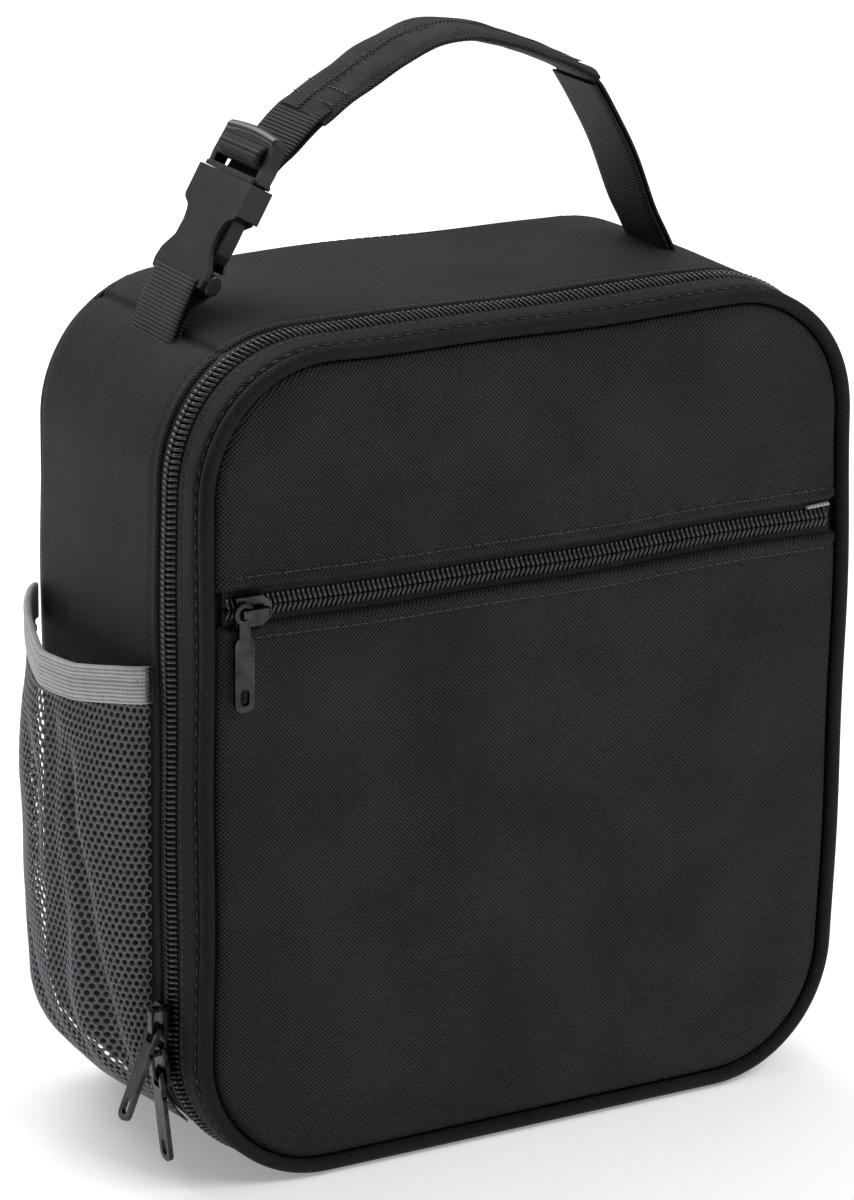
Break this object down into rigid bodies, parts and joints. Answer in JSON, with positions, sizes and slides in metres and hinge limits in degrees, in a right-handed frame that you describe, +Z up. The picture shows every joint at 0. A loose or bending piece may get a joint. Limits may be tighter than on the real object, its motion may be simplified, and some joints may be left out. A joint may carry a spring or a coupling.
{
  "type": "insulated lunch bag",
  "caption": "Front-opening insulated lunch bag with zipped lid, zipped front pocket, mesh side pocket and a webbing handle with a side-release buckle.",
  "frame": {"origin": "on the floor, under the middle of the bag's rectangular body, side pocket and handle left out", "axes": "+Z up, -Y towards the front with the lid and its pocket, +X towards the side without the mesh pocket"},
  "size_m": [0.2361, 0.1088, 0.3226],
  "materials": {
    "oxford": "woven oxford, matt",
    "gusset_fabric": "woven oxford, matt",
    "foam": "closed-cell foam, matt",
    "liner": "wipe-clean film, satin",
    "binding": "woven tape, matt",
    "zip_tape": "woven tape, matt",
    "zip_coil": "nylon coil, glossy",
    "zip_metal": "black nickel, polished",
    "mesh": "athletic mesh, matt",
    "elastic": "ribbed elastic, matt",
    "webbing": "ribbed polyester webbing",
    "grip_fabric": "woven oxford, matt",
    "buckle_plastic": "moulded acetal, satin"
  },
  "bodies": {
    "tub": {"top_panel": "oxford", "bottom_panel": "oxford", "left_side_panel": "oxford", "right_side_panel": "oxford", "back_panel": "oxford", "top_foam": "foam", "bottom_foam": "foam", "left_foam": "foam", "right_foam": "foam", "back_foam": "foam", "tub_liner": "liner", "rim_binding": "binding", "tub_zip_tape": "zip_tape", "tub_zip_coil": "zip_coil", "zip_end_left": "zip_coil", "zip_end_right": "zip_coil", "hinge_gusset": "gusset_fabric", "hinge_welt": "gusset_fabric", "hinge_panel": "oxford", "mesh_pocket": "mesh", "mesh_binding": "elastic", "left_anchor": "webbing", "right_anchor": "webbing"},
    "lid": {"lid_gusset": "gusset_fabric", "lid_welt": "gusset_fabric", "lid_upper_panel": "oxford", "pocket_panel": "oxford", "pocket_back": "gusset_fabric", "lid_foam": "foam", "lid_liner": "liner", "lid_zip_tape": "zip_tape", "lid_zip_coil": "zip_coil", "pocket_tape_upper": "zip_tape", "pocket_tape_lower": "zip_tape", "pocket_coil_upper": "zip_coil", "pocket_coil_lower": "zip_coil", "pocket_stop_left": "zip_metal", "pocket_stop_right": "zip_metal"},
    "upper_slider": {"upper_slider": "zip_metal"},
    "upper_pull": {"upper_pull": "zip_metal"},
    "lower_slider": {"lower_slider": "zip_metal"},
    "lower_pull": {"lower_pull": "zip_metal"},
    "pocket_slider": {"pocket_slider": "zip_metal"},
    "pocket_pull": {"pocket_pull": "zip_metal"},
    "handle": {"left_loop": "webbing", "buckle_socket": "buckle_plastic", "strap_left": "webbing", "grip_sleeve": "grip_fabric", "strap_right": "webbing"},
    "plug": {"buckle_plug": "buckle_plastic", "plug_loop": "webbing"},
    "front_prong": {"front_prong": "buckle_plastic"},
    "rear_prong": {"rear_prong": "buckle_plastic"}
  },
  "joints": [
    {"name": "lid_hinge", "type": "hinge", "parent": "tub", "child": "lid", "pos_m": [0, -0.0355, 0.018], "axis": [1, 0, 0], "range_deg": [0, 90], "deforming": ["hinge_gusset", "hinge_welt", "hinge_panel", "zip_end_left", "zip_end_right"]},
    {"name": "upper_slider_run", "type": "slide", "parent": "tub", "child": "upper_slider", "axis": [0, 0, 1], "range_m": [0, 0.15]},
    {"name": "upper_pull_lift", "type": "hinge", "parent": "upper_slider", "child": "upper_pull", "pos_m": [-0.11285, -0.0329, 0.0485], "axis": [0, 1, 0], "range_deg": [0, 105]},
    {"name": "lower_slider_run", "type": "hinge", "parent": "tub", "child": "lower_slider", "pos_m": [-0.067, -0.0329, 0.042], "axis": [0, -1, 0], "range_deg": [0, 18]},
    {"name": "lower_pull_lift", "type": "hinge", "parent": "lower_slider", "child": "lower_pull", "pos_m": [-0.11233, -0.0329, 0.03482], "axis": [0, 1, 0], "range_deg": [0, 105]},
    {"name": "pocket_slider_run", "type": "slide", "parent": "lid", "child": "pocket_slider", "axis": [1, 0, 0], "range_m": [0, 0.178]},
    {"name": "pocket_pull_swing", "type": "hinge", "parent": "pocket_slider", "child": "pocket_pull", "pos_m": [-0.09565, -0.05435, 0.1766], "axis": [0, 1, 0], "range_deg": [-45, 45]},
    {"name": "handle_swing", "type": "hinge", "parent": "tub", "child": "handle", "pos_m": [0, 0.0095, 0.266], "axis": [1, 0, 0], "range_deg": [-30, 30], "deforming": ["left_anchor", "right_anchor"]},
    {"name": "plug_release", "type": "slide", "parent": "handle", "child": "plug", "axis": [0.4924, 0, 0.8704], "range_m": [0, 0.018], "deforming": ["strap_left"]},
    {"name": "front_prong_squeeze", "type": "hinge", "parent": "plug", "child": "front_prong", "pos_m": [-0.06573, -0.0017, 0.28228], "axis": [0.8704, 0, -0.4924], "range_deg": [0, 7], "stiffness_Nm_per_rad": 0.02},
    {"name": "rear_prong_squeeze", "type": "hinge", "parent": "plug", "child": "rear_prong", "pos_m": [-0.06573, 0.0207, 0.28228], "axis": [-0.8704, 0, 0.4924], "range_deg": [0, 7], "stiffness_Nm_per_rad": 0.02}
  ],
  "couplings": [
    {"joint": "rear_prong_squeeze", "follows": "front_prong_squeeze", "ratio": 1},
    {"joint": "upper_pull_lift", "follows": "lower_pull_lift", "ratio": 1}
  ]
}
